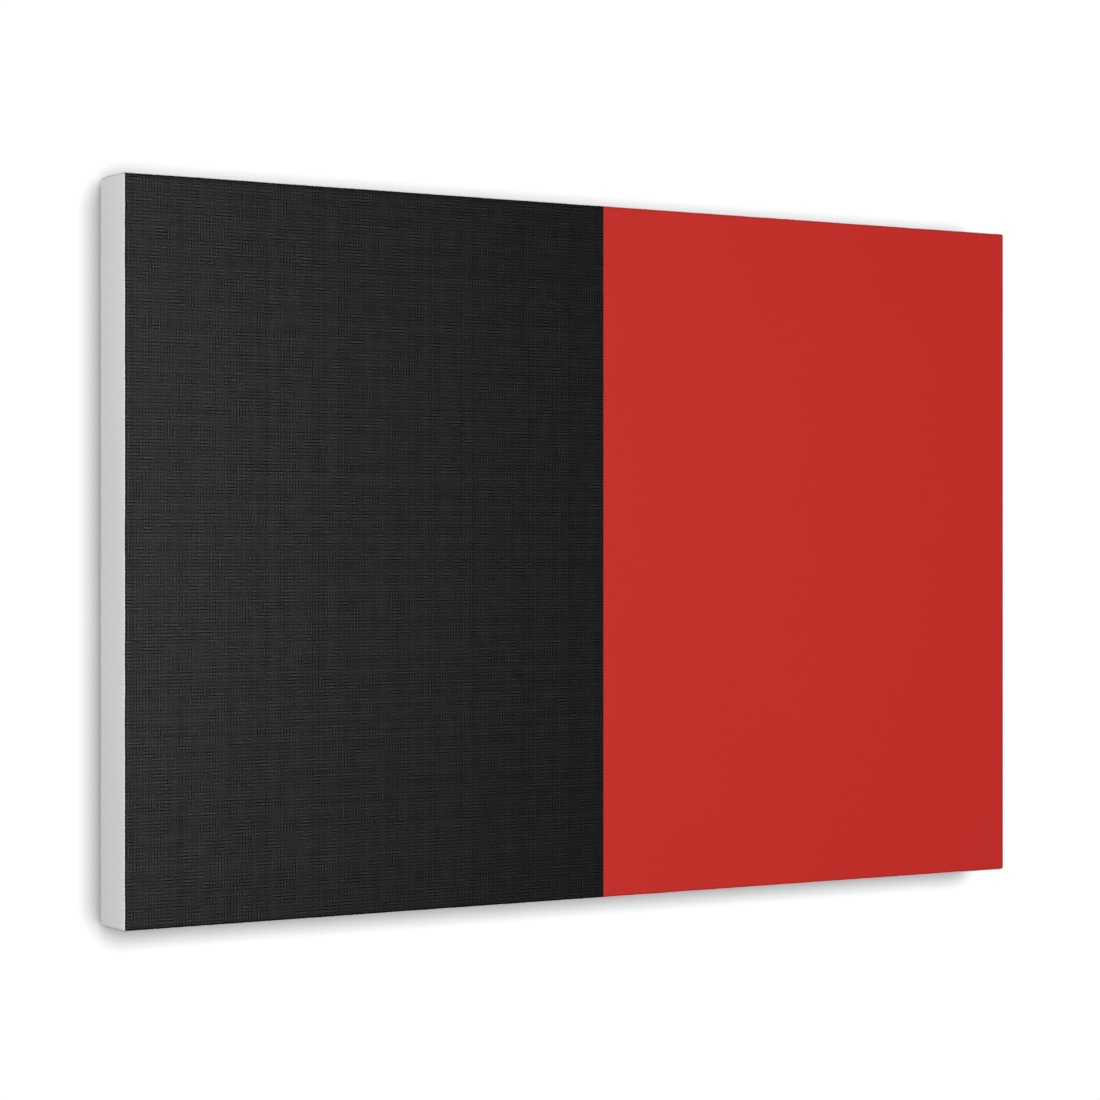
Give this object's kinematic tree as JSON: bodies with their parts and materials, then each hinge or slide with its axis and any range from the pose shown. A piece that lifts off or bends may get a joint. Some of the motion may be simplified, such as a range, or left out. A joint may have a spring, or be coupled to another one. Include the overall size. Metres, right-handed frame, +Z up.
{
  "type": "stretched canvas",
  "caption": "Gallery-wrapped canvas print, near-black beside red, stapled over keyed wooden stretcher bars, with D-ring hangers and a picture wire behind.",
  "frame": {"origin": "middle of the bottom edge, halfway through the depth of the wrap", "axes": "+X to the right as seen from the front, +Y towards the wall behind, +Z up; the printed face looks along -Y"},
  "size_m": [0.6096, 0.036, 0.4064],
  "materials": {
    "cotton_canvas": "matt primed cotton canvas with a fine weave; printed near-black and red on the front, plain white on the sides",
    "pine": "planed, unvarnished pale pine",
    "beech_key": "sawn, unvarnished beech",
    "galvanised_wire": "dull zinc-coated twisted strands",
    "staple_steel": "zinc-coated flat wire",
    "nickel_plate": "bright nickel plate on pressed steel",
    "bumper_rubber": "matt black rubber"
  },
  "bodies": {
    "frame": {"canvas": "cotton_canvas", "stretcher_top": "pine", "stretcher_bottom": "pine", "stretcher_left": "pine", "stretcher_right": "pine", "hanger_strap_left": "nickel_plate", "hanger_strap_right": "nickel_plate", "hanger_screw_left": "nickel_plate", "hanger_screw_right": "nickel_plate", "bumper_left": "bumper_rubber", "bumper_right": "bumper_rubber", "staple_top_01": "staple_steel", "staple_top_02": "staple_steel", "staple_top_03": "staple_steel", "staple_top_04": "staple_steel", "staple_top_05": "staple_steel", "staple_top_06": "staple_steel", "staple_top_07": "staple_steel", "staple_top_08": "staple_steel", "staple_top_09": "staple_steel", "staple_top_10": "staple_steel", "staple_bottom_01": "staple_steel", "staple_bottom_02": "staple_steel", "staple_bottom_03": "staple_steel", "staple_bottom_04": "staple_steel", "staple_bottom_05": "staple_steel", "staple_bottom_06": "staple_steel", "staple_bottom_07": "staple_steel", "staple_bottom_08": "staple_steel", "staple_bottom_09": "staple_steel", "staple_bottom_10": "staple_steel", "staple_left_01": "staple_steel", "staple_left_02": "staple_steel", "staple_left_03": "staple_steel", "staple_left_04": "staple_steel", "staple_left_05": "staple_steel", "staple_left_06": "staple_steel", "staple_right_01": "staple_steel", "staple_right_02": "staple_steel", "staple_right_03": "staple_steel", "staple_right_04": "staple_steel", "staple_right_05": "staple_steel", "staple_right_06": "staple_steel", "staple_corner_top_left": "staple_steel", "staple_corner_top_right": "staple_steel", "staple_corner_bottom_left": "staple_steel", "staple_corner_bottom_right": "staple_steel"},
    "key_top_left_across": {"key_top_left_across": "beech_key"},
    "key_top_left_upright": {"key_top_left_upright": "beech_key"},
    "key_top_right_across": {"key_top_right_across": "beech_key"},
    "key_top_right_upright": {"key_top_right_upright": "beech_key"},
    "key_bottom_left_across": {"key_bottom_left_across": "beech_key"},
    "key_bottom_left_upright": {"key_bottom_left_upright": "beech_key"},
    "key_bottom_right_across": {"key_bottom_right_across": "beech_key"},
    "key_bottom_right_upright": {"key_bottom_right_upright": "beech_key"},
    "d_ring_left": {"d_ring_left": "nickel_plate"},
    "d_ring_right": {"d_ring_right": "nickel_plate"},
    "hanging_wire": {"hanging_wire": "galvanised_wire"}
  },
  "joints": [
    {"name": "key_top_left_across_slide", "type": "slide", "parent": "frame", "child": "key_top_left_across", "axis": [1, 0, 0], "range_m": [0, 0.016]},
    {"name": "key_top_left_upright_slide", "type": "slide", "parent": "frame", "child": "key_top_left_upright", "axis": [0, 0, -1], "range_m": [0, 0.016]},
    {"name": "key_top_right_across_slide", "type": "slide", "parent": "frame", "child": "key_top_right_across", "axis": [-1, 0, 0], "range_m": [0, 0.016]},
    {"name": "key_top_right_upright_slide", "type": "slide", "parent": "frame", "child": "key_top_right_upright", "axis": [0, 0, -1], "range_m": [0, 0.016]},
    {"name": "key_bottom_left_across_slide", "type": "slide", "parent": "frame", "child": "key_bottom_left_across", "axis": [1, 0, 0], "range_m": [0, 0.016]},
    {"name": "key_bottom_left_upright_slide", "type": "slide", "parent": "frame", "child": "key_bottom_left_upright", "axis": [0, 0, 1], "range_m": [0, 0.016]},
    {"name": "key_bottom_right_across_slide", "type": "slide", "parent": "frame", "child": "key_bottom_right_across", "axis": [-1, 0, 0], "range_m": [0, 0.016]},
    {"name": "key_bottom_right_upright_slide", "type": "slide", "parent": "frame", "child": "key_bottom_right_upright", "axis": [0, 0, 1], "range_m": [0, 0.016]},
    {"name": "d_ring_left_hinge", "type": "hinge", "parent": "frame", "child": "d_ring_left", "pos_m": [-0.274, 0.01767, 0.3048], "axis": [-1, 0, 0], "range_deg": [0, 175]},
    {"name": "d_ring_right_hinge", "type": "hinge", "parent": "frame", "child": "d_ring_right", "pos_m": [0.274, 0.01767, 0.3048], "axis": [-1, 0, 0], "range_deg": [0, 175]},
    {"name": "hanging_wire_swing", "type": "hinge", "parent": "frame", "child": "hanging_wire", "pos_m": [0, 0.01767, 0.3048], "axis": [-1, 0, 0], "range_deg": [0, 175]}
  ],
  "couplings": [
    {"joint": "d_ring_right_hinge", "follows": "d_ring_left_hinge", "ratio": 1},
    {"joint": "hanging_wire_swing", "follows": "d_ring_left_hinge", "ratio": 1}
  ]
}
